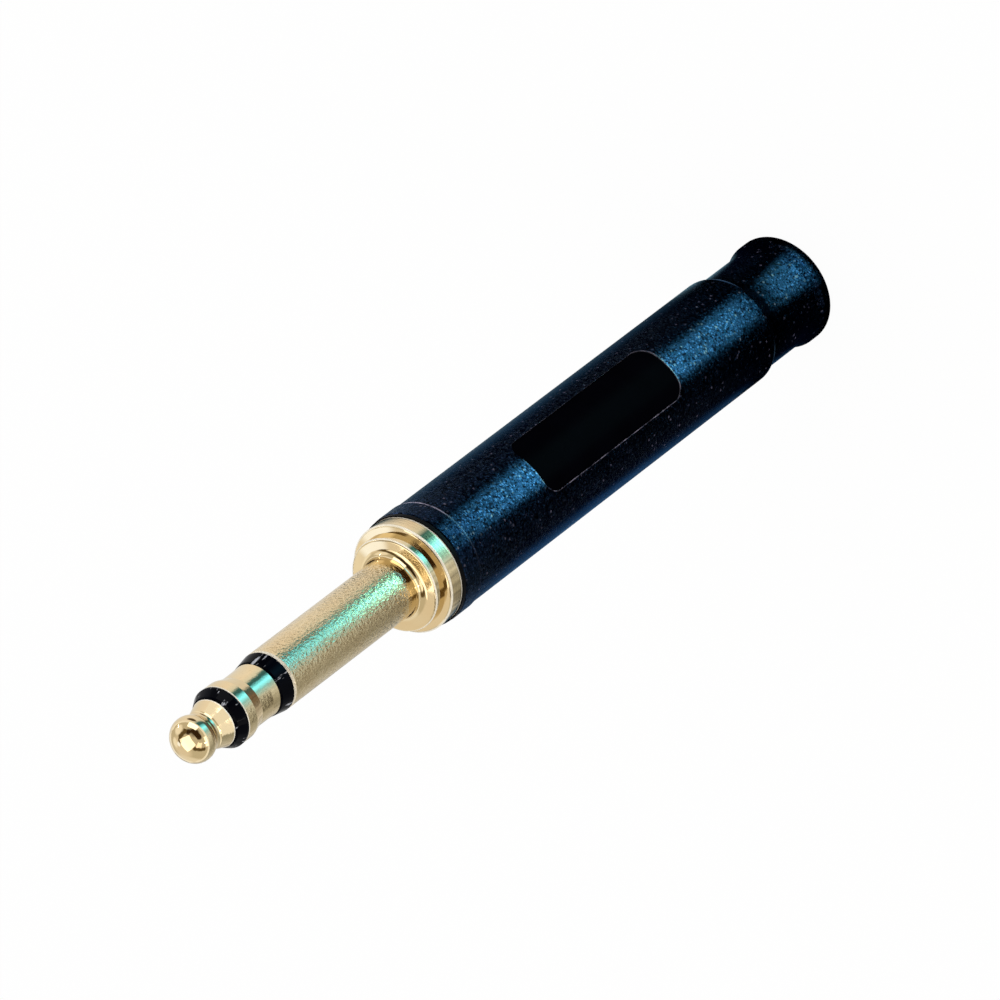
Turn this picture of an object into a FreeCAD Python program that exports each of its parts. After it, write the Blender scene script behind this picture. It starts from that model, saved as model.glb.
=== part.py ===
"""Stereo jack plug, 4.4 mm finger with three contacts and a screwed shell.

Millimetres, +Z up.  The plug stands on the rim of its tail: the origin is the
centre of that rim, and the finger points up along +Z.
"""
import FreeCAD, Part
import math
import os
import Sketcher

V = FreeCAD.Vector

# Driving sizes, in millimetres and degrees

SIZES = [
    # Shell, measured up from the rim of the tail
    ("shell_length", 45.0, "tail rim to front face"),
    ("shell_radius", 4.08, "outside of the barrel"),
    ("front_band_step", 0.07, "height of the plain band at the front over the barrel"),
    ("front_band_length", 1.75, "length of that band"),
    ("shell_edge", 0.12, "chamfer on the front edge"),
    ("tail_rim_step", 0.01, "height of the tail rim over the barrel"),
    ("tail_rim_band", 0.75, "straight part of the tail rim"),
    ("tail_rim_edge", 0.10, "chamfer on the tail rim"),
    ("flare_end", 2.3, "height where the flare meets the neck"),
    ("neck_step", 0.32, "depth of the neck below the barrel"),
    ("neck_end", 6.8, "height of the shoulder above the neck"),
    ("shoulder_round", 0.6, "radius of the shoulder's edge"),
    ("cable_mouth_step", 0.7, "width of the step from the mouth to the cable hole"),
    ("tail_rim_width", 0.99, "width of the tail rim around the mouth of the cable hole"),
    ("cable_mouth_depth", 0.9, "depth of that mouth"),
    ("chamber_floor", 8.6, "height of the chamber's floor"),
    ("chamber_slope", 1.0, "height of the cone between hole and chamber"),
    ("chamber_wall", 0.68, "wall of the barrel around the chamber"),
    ("label_floor_depth", 0.09, "depth of the bare label panel"),
    ("label_start", 18.0, "height of the panel's rear end"),
    ("label_length", 16.4, "length of the panel"),
    ("label_width", 4.5, "width of the panel across the barrel"),
    ("label_corner", 1.15, "corner radius of the panel"),
    # Thread between shell and sleeve
    ("thread_wall", 0.53, "wall of the barrel around the thread"),
    ("thread_length", 3.2, "length of that thread"),
    ("thread_relief", 0.7, "plain undercut below the collar"),
    ("relief_depth", 0.25, "depth of the undercut"),
    ("thread_gap", 0.05, "running clearance in the thread"),
    ("thread_edge", 0.2, "chamfer on thread and mouth"),
    # Collar washer
    ("washer_thick", 0.3, "washer between shell and collar"),
    ("washer_step", 0.04, "height of the washer over the barrel"),
    # Collar and finger
    ("collar_step", 0.06, "depth of the collar below the barrel"),
    ("collar_length", 1.25, "length of the collar"),
    ("collar_edge", 0.15, "chamfer on the collar"),
    ("boss_share", 0.64, "place of the boss's outside between finger root and collar"),
    ("boss_length", 0.95, "length of the boss"),
    ("boss_edge", 0.16, "rounding of the boss"),
    ("finger_root", 0.5, "fillet where the finger leaves the boss"),
    ("finger_radius", 2.2, "outside of the finger, half of 4.4"),
    ("sleeve_length", 14.45, "boss face to the sleeve's front end"),
    ("sleeve_edge", 0.16, "chamfer on the sleeve's front end"),
    # Ring insulator and ring contact
    ("ring_ins_length", 1.35, "ring insulator, visible length"),
    ("ring_ins_front", 1.99, "its radius at the ring contact"),
    ("ring_ins_edge", 0.12, "its bevel at the sleeve"),
    ("ring_length", 3.85, "ring contact"),
    ("ring_rear_radius", 1.97, "its radius at the rear"),
    ("waist_radius", 1.93, "its radius at the waist"),
    ("waist_start", 0.7, "rear end to the waist"),
    ("waist_length", 1.25, "length of the waist"),
    ("bead_radius", 2.19, "its radius at the front bead"),
    ("bead_length", 0.95, "length of the front bead"),
    ("bead_edge", 0.1, "rounding of the bead"),
    # Tip insulator
    ("tip_ins_length", 0.95, "tip insulator, visible length"),
    ("tip_ins_front", 1.76, "its radius at the tip contact"),
    ("tip_ins_band", 0.15, "straight part of its rear edge"),
    # Tip contact
    ("skirt_length", 1.0, "skirt from insulator to neck"),
    ("skirt_top_radius", 1.42, "radius where the skirt meets the neck"),
    ("tip_neck_bend", 0.5, "radius of the curve of the neck"),
    ("ball_height", 2.25, "skirt's rear end to the ball's widest part"),
    ("ball_radius", 1.66, "widest part of the ball"),
    ("ball_nose", 1.38, "widest part to the end of the nose"),
    ("ball_round", 1.2, "radius of the ball's flank"),
    ("ball_back_angle", 40.0, "sweep of the flank behind the widest part"),
    ("tip_bore_depth", 1.9, "depth of the rod's hole in the tip contact"),
    # Spigots of the two insulators
    ("spigot_length", 0.8, "length of each spigot"),
    ("tip_spigot_wall", 0.42, "wall of the tip insulator's spigot"),
    ("ring_spigot_wall", 0.25, "wall of the ring insulator's spigot"),
    ("seat_gap", 0.03, "clearance at the end of a spigot"),
    # Rod and tubes, from the middle outwards
    ("rod_radius", 0.45, "centre rod"),
    ("rod_ins_wall", 0.28, "wall of the tube on the rod"),
    ("ring_tube_wall", 0.30, "wall of the ring contact's tube"),
    ("tube_ins_wall", 0.31, "wall of the tube on the ring tube"),
    ("slip_gap", 0.02, "clearance between tube and tube"),
    # Rear of the sleeve
    ("liner_gap", 0.08, "clearance between the liner and the chamber"),
    ("liner_seat_length", 1.2, "length of that step"),
    ("nose_gap", 0.15, "clearance between the nose and the ground strap"),
    ("nose_length", 0.7, "length of the nose"),
    ("nose_rim", 0.1, "how far the nose's rolled rim stands out"),
    ("bush_share", 0.54, "place of the bush's spigot between finger bore and nose"),
    ("bush_depth", 1.2, "length of that spigot"),
    ("bush_flange", 0.6, "thickness of the bush's flange"),
    # Solder lugs
    ("lug_thick", 0.4, "sheet of the lugs"),
    ("lug_bend", 0.2, "inner radius of a bent lug"),
    ("lug_width", 1.7, "width of a solder tag"),
    ("lug_hole_radius", 0.42, "solder hole"),
    ("lug_hole_inset", 1.2, "end of a tag to its solder hole"),
    ("lug_corner", 0.7, "corner radius at the end of a tag"),
    ("ring_disc_share", 0.54, "place of the ring lug's disc between tube rim and ground strap"),
    ("ring_tag_share", 0.39, "place of its tag between spacer and liner"),
    ("ring_lug_length", 7.6, "length of its tag"),
    ("tube_rim_step", 0.29, "width of the ring tube's peened rim"),
    ("tube_rim_thick", 0.3, "thickness of that rim"),
    ("spacer_share", 0.45, "place of the spacer's outside between tube rim and ground strap"),
    ("spacer_thick", 0.9, "thickness of the spacer"),
    ("tip_lug_disc", 1.5, "disc of the tip lug"),
    ("tip_lug_reach", 2.1, "outer face of its tag"),
    ("tip_lug_length", 9.6, "length of its tag"),
    ("rivet_washer_radius", 1.0, "washer under the rod's head"),
    ("rivet_washer_thick", 0.3, "thickness of that washer"),
    ("rod_head_radius", 0.82, "peened head of the rod"),
    ("rod_head_length", 0.4, "length of that head"),
    ("rod_head_edge", 0.12, "chamfer on that head"),
    # Ground lug with its cable barrel, and the ferrule
    ("ferrule_gap", 0.13, "clearance between the ferrule and the chamber"),
    ("strap_sweep", 48.0, "how far its strap wraps the axis"),
    ("wiring_length", 4.2, "free length between the chamber's floor and the barrel"),
    ("barrel_length", 6.4, "length of the cable barrel"),
    ("barrel_sweep", 250.0, "how far the barrel wraps the cable"),
    ("ferrule_wall", 0.3, "wall of the ferrule"),
    ("ferrule_length", 4.8, "length of the ferrule"),
    ("ferrule_inset", 0.8, "rear end of the barrel to the ferrule"),
    # Liner
    ("liner_wall", 0.25, "wall of the insulating liner"),
    ("liner_lift", 1.6, "clearance between the cable barrel and the liner"),
]

DOC = FreeCAD.newDocument("StereoJackPlug")
SHEET = DOC.addObject("Spreadsheet::Sheet", "Sizes")


# Sizes as values that remember their formula

class Size:
    """A number with the spreadsheet formula that gives it."""

    def __init__(self, value, text):
        self.value = float(value)
        self.text = text

    @staticmethod
    def of(item):
        return item if isinstance(item, Size) else Size(item, repr(float(item)))

    def joined(self, other, sign, value):
        return Size(value, "(%s %s %s)" % (self.text, sign, Size.of(other).text))

    def __add__(self, other):
        return self.joined(other, "+", self.value + Size.of(other).value)

    def __sub__(self, other):
        return self.joined(other, "-", self.value - Size.of(other).value)

    def __mul__(self, other):
        return self.joined(other, "*", self.value * Size.of(other).value)

    def __truediv__(self, other):
        return self.joined(other, "/", self.value / Size.of(other).value)

    def __neg__(self):
        return Size(-self.value, "(0 - %s)" % self.text)


def root(size):
    return Size(math.sqrt(size.value), "sqrt(%s)" % size.text)


def sine(size):
    return Size(math.sin(math.radians(size.value)), "sin(%s)" % size.text)


def cosine(size):
    return Size(math.cos(math.radians(size.value)), "cos(%s)" % size.text)


def fill_sheet():
    """Write every driving size into the sheet and return them by name."""
    sizes = {}
    for row, (name, value, note) in enumerate(SIZES, start=1):
        SHEET.set("A%d" % row, name)
        SHEET.set("B%d" % row, repr(value))
        SHEET.set("C%d" % row, note)
        SHEET.setAlias("B%d" % row, name)
        sizes[name] = Size(value, "Sizes.%s" % name)
    DOC.recompute()
    return sizes


D = fill_sheet()
ZERO = Size(0.0, "0")


# Sketch and body helpers

def new_body(name):
    return DOC.addObject("PartDesign::Body", name)


def origin_part(body, role):
    return next(part for part in body.Origin.OriginFeatures if part.Role == role)


def new_sketch(body, name, plane, lift=None):
    """A sketch on one of the body's own planes, lifted along its normal."""
    sketch = body.newObject("Sketcher::SketchObject", name)
    sketch.AttachmentSupport = [(origin_part(body, plane), "")]
    sketch.MapMode = "FlatFace"
    if lift is not None:
        sketch.AttachmentOffset = FreeCAD.Placement(V(0, 0, lift.value), FreeCAD.Rotation())
        sketch.setExpression("AttachmentOffset.Base.z", lift.text)
    return sketch


def bind(sketch, kind, geo, pos, size):
    """Hold one coordinate of a point at a size measured from the origin."""
    if size.value < 0:
        size = -size
        index = sketch.addConstraint(Sketcher.Constraint(kind, geo, pos, -1, 1, size.value))
    else:
        index = sketch.addConstraint(Sketcher.Constraint(kind, -1, 1, geo, pos, size.value))
    sketch.setExpression("Constraints[%d]" % index, size.text)


def arc_centre(start, end, radius, turn):
    """Centre of the short arc from start to end; turn is +1 for anticlockwise."""
    middle = (start + end) * 0.5
    chord = end - start
    half = chord.Length / 2.0
    normal = V(-chord.y, chord.x, 0).normalize()
    return middle + normal * (turn * math.sqrt(max(radius * radius - half * half, 0.0)))


def outline(sketch, points):
    """Closed outline through points (x, y) or (x, y, radius, turn).

    A radius and a turn make the stretch to the next point an arc.
    """
    places = [V(Size.of(point[0]).value, Size.of(point[1]).value, 0) for point in points]
    count = len(points)
    starts, ends, arcs = [], [], []
    for i, point in enumerate(points):
        here, there = places[i], places[(i + 1) % count]
        if len(point) == 2:
            geo = sketch.addGeometry(Part.LineSegment(here, there), False)
            starts.append((geo, 1))
            ends.append((geo, 2))
            arcs.append(None)
            continue
        radius, turn = Size.of(point[2]), point[3]
        centre = arc_centre(here, there, radius.value, turn)
        first, last = (here, there) if turn > 0 else (there, here)
        angles = [math.atan2(end.y - centre.y, end.x - centre.x) for end in (first, last)]
        if angles[1] < angles[0]:
            angles[1] += 2 * math.pi
        circle = Part.Circle(centre, V(0, 0, 1), radius.value)
        geo = sketch.addGeometry(Part.ArcOfCircle(circle, angles[0], angles[1]), False)
        starts.append((geo, 1 if turn > 0 else 2))
        ends.append((geo, 2 if turn > 0 else 1))
        arcs.append(radius)
    for i in range(count):
        geo, pos = starts[(i + 1) % count]
        sketch.addConstraint(Sketcher.Constraint("Coincident", ends[i][0], ends[i][1], geo, pos))
    for i, point in enumerate(points):
        geo, pos = starts[i]
        x, y = Size.of(point[0]), Size.of(point[1])
        before = points[i - 1] if i else None
        straight = before is not None and len(before) == 2
        if straight and Size.of(before[0]).text == x.text:
            sketch.addConstraint(Sketcher.Constraint("Vertical", i - 1))
        elif x.text == "0":
            sketch.addConstraint(Sketcher.Constraint("PointOnObject", geo, pos, -2))
        else:
            bind(sketch, "DistanceX", geo, pos, x)
        if straight and Size.of(before[1]).text == y.text:
            sketch.addConstraint(Sketcher.Constraint("Horizontal", i - 1))
        elif y.text == "0":
            sketch.addConstraint(Sketcher.Constraint("PointOnObject", geo, pos, -1))
        else:
            bind(sketch, "DistanceY", geo, pos, y)
        if arcs[i] is not None:
            index = sketch.addConstraint(Sketcher.Constraint("Radius", geo, arcs[i].value))
            sketch.setExpression("Constraints[%d]" % index, arcs[i].text)


def turn_profile(body, name, points, plane="XZ_Plane"):
    """Revolve a profile of (radius, height) points about the plug's axis."""
    sketch = new_sketch(body, name + "_profile", plane)
    outline(sketch, points)
    DOC.recompute()
    solid = body.newObject("PartDesign::Revolution", name + "_turned")
    solid.Profile = sketch
    solid.ReferenceAxis = (sketch, ["V_Axis"])
    solid.Angle = 360.0
    DOC.recompute()
    return solid


def turned_piece(name, points):
    body = new_body(name)
    turn_profile(body, name, points)
    return body


def tube_points(inner, outer, low, high):
    return [(inner, low), (outer, low), (outer, high), (inner, high)]


def pad(body, sketch, name, length, midplane=False, reverse=False):
    solid = body.newObject("PartDesign::Pad", name)
    solid.Profile = sketch
    solid.Length = length.value
    solid.setExpression("Length", length.text)
    if midplane:
        solid.SideType = "Symmetric"
    solid.Reversed = reverse
    DOC.recompute()
    return solid


def circle(sketch, x, y, radius):
    """A circle bound by its centre and radius."""
    geo = sketch.addGeometry(Part.Circle(V(x.value, y.value, 0), V(0, 0, 1), radius.value), False)
    for kind, axis, size in (("DistanceX", -2, x), ("DistanceY", -1, y)):
        if size.text == "0":
            sketch.addConstraint(Sketcher.Constraint("PointOnObject", geo, 3, axis))
        else:
            bind(sketch, kind, geo, 3, size)
    index = sketch.addConstraint(Sketcher.Constraint("Radius", geo, radius.value))
    sketch.setExpression("Constraints[%d]" % index, radius.text)


def cut_through(body, sketch, name):
    """Pocket both ways through the whole body, and check that it cut."""
    before = body.Shape.Volume
    hole = body.newObject("PartDesign::Pocket", name)
    hole.Profile = sketch
    hole.Type = "ThroughAll"
    hole.SideType = "Symmetric"
    DOC.recompute()
    if body.Shape.Volume >= before:
        raise ValueError(name + " cuts nothing")
    return hole


def round_edges(body, feature, name, radius, chosen):
    """Fillet the edges of a feature that a test picks."""
    edges = ["Edge%d" % (i + 1) for i, edge in enumerate(feature.Shape.Edges) if chosen(edge)]
    if not edges:
        raise ValueError(name + " finds no edge")
    rounding = body.newObject("PartDesign::Fillet", name)
    rounding.Base = (feature, edges)
    rounding.Radius = radius.value
    rounding.setExpression("Radius", radius.text)
    DOC.recompute()
    return rounding


# Radii of the nested rod and tubes

rod_ins_inner = D["rod_radius"] + D["slip_gap"]
rod_ins_outer = rod_ins_inner + D["rod_ins_wall"]
ring_tube_inner = rod_ins_outer + D["slip_gap"]
ring_tube_outer = ring_tube_inner + D["ring_tube_wall"]
tube_ins_inner = ring_tube_outer + D["slip_gap"]
tube_ins_outer = tube_ins_inner + D["tube_ins_wall"]

# Radii that follow the shell, from the outside inwards

front_band_radius = D["shell_radius"] + D["front_band_step"]
tail_rim_radius = D["shell_radius"] + D["tail_rim_step"]
neck_radius = D["shell_radius"] - D["neck_step"]
cable_mouth_radius = tail_rim_radius - D["tail_rim_width"]
cable_hole_radius = cable_mouth_radius - D["cable_mouth_step"]
chamber_radius = D["shell_radius"] - D["chamber_wall"]
thread_bore = D["shell_radius"] - D["thread_wall"]
thread_radius = thread_bore - D["thread_gap"]
washer_radius = D["shell_radius"] + D["washer_step"]
collar_radius = D["shell_radius"] - D["collar_step"]
finger_root_radius = D["finger_radius"] + D["finger_root"]
boss_radius = finger_root_radius + (collar_radius - D["collar_edge"] - finger_root_radius) * D["boss_share"]

liner_outer = chamber_radius - D["liner_gap"]
liner_inner = liner_outer - D["liner_wall"]
liner_seat_radius = liner_inner - D["slip_gap"]
ferrule_outer = chamber_radius - D["ferrule_gap"]
ferrule_inner = ferrule_outer - D["ferrule_wall"]
ground_disc = ferrule_inner - D["slip_gap"]
ground_inside = ground_disc - D["lug_thick"]
nose_radius = ground_inside - D["nose_gap"]

finger_bore = tube_ins_outer + D["slip_gap"]
bush_radius = finger_bore + (nose_radius - finger_bore) * D["bush_share"]
bush_bore = bush_radius + D["slip_gap"]
tube_rim_radius = ring_tube_outer + D["tube_rim_step"]
spacer_radius = tube_rim_radius + (ground_inside - tube_rim_radius) * D["spacer_share"]
ring_lug_disc = tube_rim_radius + (ground_inside - tube_rim_radius) * D["ring_disc_share"]
half_lug = D["lug_width"] / 2.0
tag_limit = root(liner_inner * liner_inner - half_lug * half_lug) - D["lug_thick"]
ring_lug_reach = spacer_radius + (tag_limit - spacer_radius) * D["ring_tag_share"] + D["lug_thick"]

# Heights along the axis, from the tail upwards

washer_low = D["shell_length"]
collar_low = washer_low + D["washer_thick"]
collar_high = collar_low + D["collar_length"]
boss_high = collar_high + D["boss_length"]
sleeve_high = boss_high + D["sleeve_length"]
ring_low = sleeve_high + D["ring_ins_length"]
ring_high = ring_low + D["ring_length"]
tip_low = ring_high + D["tip_ins_length"]
ball_mid = tip_low + D["ball_height"]
tip_high = ball_mid + D["ball_nose"]

relief_low = collar_low - D["thread_relief"]
thread_low = relief_low - D["thread_length"]
step_low = thread_low - D["liner_seat_length"]
nose_low = step_low - D["nose_length"]
flange_low = nose_low - D["bush_flange"]
ring_lug_low = flange_low - D["lug_thick"]
spacer_low = ring_lug_low - D["spacer_thick"]
tip_lug_low = spacer_low - D["lug_thick"]
rivet_low = tip_lug_low - D["rivet_washer_thick"]
rod_low = rivet_low - D["rod_head_length"]


# The shell, screwed on from behind

def shell_points():
    """Outside from the tail to the front, then the inside back down."""
    band_low = D["shell_length"] - D["front_band_length"]
    rim_top = D["tail_rim_edge"] + D["tail_rim_band"]
    bore_low = thread_low - D["thread_gap"]
    floor_top = D["chamber_floor"] + D["chamber_slope"]
    step = D["shell_radius"] - neck_radius
    # The flare's arc leaves the rim and meets the neck's wall without a kink
    flare_out = tail_rim_radius - neck_radius
    flare_up = D["flare_end"] - rim_top
    flare_bend = (flare_out * flare_out + flare_up * flare_up) / (flare_out * 2.0)
    # The shoulder's arc leaves the neck's wall and meets the barrel without a kink
    reach = root(D["shoulder_round"] * D["shoulder_round"]
                 - (D["shoulder_round"] - step) * (D["shoulder_round"] - step))
    return [
        (cable_mouth_radius, ZERO),
        (tail_rim_radius - D["tail_rim_edge"], ZERO),
        (tail_rim_radius, D["tail_rim_edge"]),
        (tail_rim_radius, rim_top, flare_bend, -1),
        (neck_radius, D["flare_end"]),
        (neck_radius, D["neck_end"], D["shoulder_round"], 1),
        (D["shell_radius"], D["neck_end"] + reach),
        (D["shell_radius"], band_low),
        (front_band_radius, band_low),
        (front_band_radius, D["shell_length"] - D["shell_edge"]),
        (front_band_radius - D["shell_edge"], D["shell_length"]),
        (thread_bore + D["thread_edge"], D["shell_length"]),
        (thread_bore, D["shell_length"] - D["thread_edge"]),
        (thread_bore, bore_low),
        (chamber_radius, bore_low),
        (chamber_radius, floor_top),
        (cable_hole_radius, D["chamber_floor"]),
        (cable_hole_radius, D["cable_mouth_depth"]),
    ]


def shell():
    """Turned shell with its bare label panel sunk into the barrel."""
    turned = turned_piece("shell_blank", shell_points())
    cutter = new_body("label_cutter")
    half = D["label_width"] / 2.0
    corner = D["label_corner"]
    low, high = D["label_start"], D["label_start"] + D["label_length"]
    sketch = new_sketch(cutter, "label_outline", "XZ_Plane")
    outline(sketch, [
        (corner - half, low),
        (half - corner, low, corner, 1),
        (half, low + corner),
        (half, high - corner, corner, 1),
        (half - corner, high),
        (corner - half, high, corner, 1),
        (-half, high - corner),
        (-half, low + corner, corner, 1),
    ])
    DOC.recompute()
    pad(cutter, sketch, "label_block", front_band_radius + 1.0)
    core = new_sketch(cutter, "label_core", "XY_Plane")
    circle(core, ZERO, ZERO, D["shell_radius"] - D["label_floor_depth"])
    cut_through(cutter, core, "label_floor")
    piece = DOC.addObject("Part::Cut", "shell")
    piece.Base = turned
    piece.Tool = cutter
    DOC.recompute()
    if piece.Shape.Volume >= turned.Shape.Volume:
        raise ValueError("label panel cuts nothing")
    return piece


# The sleeve: finger, collar, boss and rear thread turned as one

ring_spigot = finger_bore + D["ring_spigot_wall"]
tip_spigot = rod_ins_outer + D["slip_gap"] + D["tip_spigot_wall"]
spigot_hole = D["spigot_length"] + D["seat_gap"]


def sleeve_contact():
    rim = nose_radius + D["nose_rim"]
    rim_top = step_low - D["lug_thick"]
    relief = thread_radius - D["relief_depth"]
    ring_hole = ring_spigot + D["slip_gap"]
    bush_top = nose_low + D["bush_depth"] + D["seat_gap"]
    return turned_piece("sleeve_contact", [
        (bush_bore, nose_low),
        (rim, nose_low),
        (rim, rim_top),
        (nose_radius, rim_top),
        (nose_radius, step_low),
        (liner_seat_radius, step_low),
        (liner_seat_radius, thread_low),
        (thread_radius - D["thread_edge"], thread_low),
        (thread_radius, thread_low + D["thread_edge"]),
        (thread_radius, relief_low),
        (relief, relief_low),
        (relief, collar_low),
        (collar_radius, collar_low),
        (collar_radius, collar_high - D["collar_edge"]),
        (collar_radius - D["collar_edge"], collar_high),
        (boss_radius, collar_high),
        (boss_radius, boss_high - D["boss_edge"], D["boss_edge"], 1),
        (boss_radius - D["boss_edge"], boss_high),
        (finger_root_radius, boss_high, D["finger_root"], -1),
        (D["finger_radius"], boss_high + D["finger_root"]),
        (D["finger_radius"], sleeve_high - D["sleeve_edge"]),
        (D["finger_radius"] - D["sleeve_edge"], sleeve_high),
        (ring_hole, sleeve_high),
        (ring_hole, sleeve_high - spigot_hole),
        (finger_bore, sleeve_high - spigot_hole),
        (finger_bore, bush_top),
        (bush_bore, bush_top),
    ])


def collar_washer():
    return turned_piece("collar_washer", tube_points(thread_bore, washer_radius, washer_low, collar_low))


# Ring contact, its insulator and the tube that carries it

def ring_insulator():
    return turned_piece("ring_insulator", [
        (finger_bore, sleeve_high - D["spigot_length"]),
        (ring_spigot, sleeve_high - D["spigot_length"]),
        (ring_spigot, sleeve_high),
        (D["finger_radius"] - D["ring_ins_edge"], sleeve_high),
        (D["finger_radius"], sleeve_high + D["ring_ins_edge"]),
        (D["ring_ins_front"], ring_low),
        (finger_bore, ring_low),
    ])


def ring_contact():
    bore = ring_tube_outer + D["slip_gap"]
    hole = tip_spigot + D["slip_gap"]
    waist_low = ring_low + D["waist_start"]
    return turned_piece("ring_contact", [
        (bore, ring_low),
        (D["ring_rear_radius"], ring_low),
        (D["waist_radius"], waist_low),
        (D["waist_radius"], waist_low + D["waist_length"]),
        (D["bead_radius"], ring_high - D["bead_length"]),
        (D["bead_radius"], ring_high - D["bead_edge"], D["bead_edge"], 1),
        (D["bead_radius"] - D["bead_edge"], ring_high),
        (hole, ring_high),
        (hole, ring_high - spigot_hole),
        (bore, ring_high - spigot_hole),
    ])


def ring_tube():
    """Tube with the rim that is peened over the ring lug."""
    rim_low = ring_lug_low - D["tube_rim_thick"]
    return turned_piece("ring_tube", [
        (ring_tube_inner, rim_low),
        (tube_rim_radius, rim_low),
        (tube_rim_radius, ring_lug_low),
        (ring_tube_outer, ring_lug_low),
        (ring_tube_outer, ring_high - spigot_hole),
        (ring_tube_inner, ring_high - spigot_hole),
    ])


def tube_insulation():
    return turned_piece("tube_insulation", tube_points(tube_ins_inner, tube_ins_outer, flange_low, ring_low))


# Tip contact, its insulator and the rod that carries it

def tip_insulator():
    bore = rod_ins_outer + D["slip_gap"]
    return turned_piece("tip_insulator", [
        (bore, ring_high - D["spigot_length"]),
        (tip_spigot, ring_high - D["spigot_length"]),
        (tip_spigot, ring_high),
        (D["finger_radius"], ring_high),
        (D["finger_radius"], ring_high + D["tip_ins_band"]),
        (D["tip_ins_front"], tip_low),
        (bore, tip_low),
    ])


def tip_contact():
    """Skirt, neck and ball; two tangent arcs shape the ball's flank and nose."""
    bore = D["rod_radius"] + D["slip_gap"]
    bore_top = tip_low + D["tip_bore_depth"]
    flank, nose = D["ball_round"], D["ball_nose"]
    offset = D["ball_radius"] - flank
    nose_bend = (offset * offset + nose * nose - flank * flank) / ((nose - flank) * 2.0)
    share = nose_bend / (nose_bend - flank)
    back = D["ball_back_angle"]
    return turned_piece("tip_contact", [
        (bore, tip_low),
        (D["tip_ins_front"], tip_low),
        (D["skirt_top_radius"], tip_low + D["skirt_length"], D["tip_neck_bend"], -1),
        (offset + flank * cosine(back), ball_mid - flank * sine(back), flank, 1),
        (offset * share, tip_high - nose_bend + (nose_bend - nose) * share, nose_bend, 1),
        (ZERO, tip_high),
        (ZERO, bore_top),
        (bore, bore_top),
    ])


def centre_rod():
    """Rod with the head that is peened over its washer."""
    edge = D["rod_head_edge"]
    rod_high = tip_low + D["tip_bore_depth"] - D["seat_gap"]
    return turned_piece("centre_rod", [
        (ZERO, rod_low),
        (D["rod_head_radius"] - edge, rod_low),
        (D["rod_head_radius"], rod_low + edge),
        (D["rod_head_radius"], rivet_low),
        (D["rod_radius"], rivet_low),
        (D["rod_radius"], rod_high),
        (ZERO, rod_high),
    ])


def rod_insulation():
    return turned_piece("rod_insulation", tube_points(rod_ins_inner, rod_ins_outer, spacer_low, tip_low))


# Insulating bush and spacer behind the sleeve

def rear_bush():
    return turned_piece("rear_bush", [
        (finger_bore, flange_low),
        (nose_radius, flange_low),
        (nose_radius, nose_low),
        (bush_radius, nose_low),
        (bush_radius, nose_low + D["bush_depth"]),
        (finger_bore, nose_low + D["bush_depth"]),
    ])


def lug_spacer():
    bore = rod_ins_outer + D["slip_gap"]
    recess = tube_rim_radius + D["slip_gap"]
    recess_low = ring_lug_low - D["tube_rim_thick"] - D["seat_gap"]
    return turned_piece("lug_spacer", [
        (bore, spacer_low),
        (spacer_radius, spacer_low),
        (spacer_radius, ring_lug_low),
        (recess, ring_lug_low),
        (recess, recess_low),
        (bore, recess_low),
    ])


def rivet_washer():
    inner = D["rod_radius"] + D["slip_gap"]
    return turned_piece("rivet_washer", tube_points(inner, D["rivet_washer_radius"], rivet_low, tip_lug_low))


# Solder lugs, stamped and bent from sheet

def solder_lug(name, inner, outer, low, side, reach, length):
    """Disc with a tag bent down its side; side is +1 for +X and -1 for -X."""
    body = new_body(name)
    thick, bend = D["lug_thick"], D["lug_bend"]
    high = low + thick
    turn_profile(body, name, tube_points(inner, outer, low, high))
    root_place = (inner + outer) / 2.0
    inside = reach - thick
    bottom = high - length
    tag = [
        (root_place, high),
        (inside - bend, high, bend + thick, -1),
        (reach, low - bend),
        (reach, bottom),
        (inside, bottom),
        (inside, low - bend, bend, 1),
        (inside - bend, low),
        (root_place, low),
    ]
    if side < 0:
        tag = [(-point[0], point[1]) + ((point[2], -point[3]) if len(point) > 2 else ())
               for point in tag]
    sketch = new_sketch(body, name + "_tag", "XZ_Plane")
    outline(sketch, tag)
    DOC.recompute()
    strip = pad(body, sketch, name + "_strip", D["lug_width"], midplane=True)
    half = D["lug_width"].value / 2.0

    def at_corner(edge):
        ends = [vertex.Point for vertex in edge.Vertexes]
        return all(abs(end.z - bottom.value) < 1e-6 and abs(abs(end.y) - half) < 1e-6 for end in ends) \
            and abs(ends[0].y - ends[-1].y) < 1e-6

    round_edges(body, strip, name + "_corners", D["lug_corner"], at_corner)
    hole = new_sketch(body, name + "_hole_place", "YZ_Plane")
    circle(hole, ZERO, bottom + D["lug_hole_inset"], D["lug_hole_radius"])
    cut_through(body, hole, name + "_hole")
    return body


def ring_lug():
    inner = ring_tube_outer + D["slip_gap"]
    return solder_lug("ring_lug", inner, ring_lug_disc, ring_lug_low, -1,
                      ring_lug_reach, D["ring_lug_length"])


def tip_lug():
    inner = D["rod_radius"] + D["slip_gap"]
    return solder_lug("tip_lug", inner, D["tip_lug_disc"], tip_lug_low, 1,
                      D["tip_lug_reach"], D["tip_lug_length"])


# Ground lug: a disc, a curved strap and an open barrel for the cable

barrel_low = D["chamber_floor"] + D["chamber_slope"] + D["wiring_length"]
barrel_high = barrel_low + D["barrel_length"]


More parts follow.
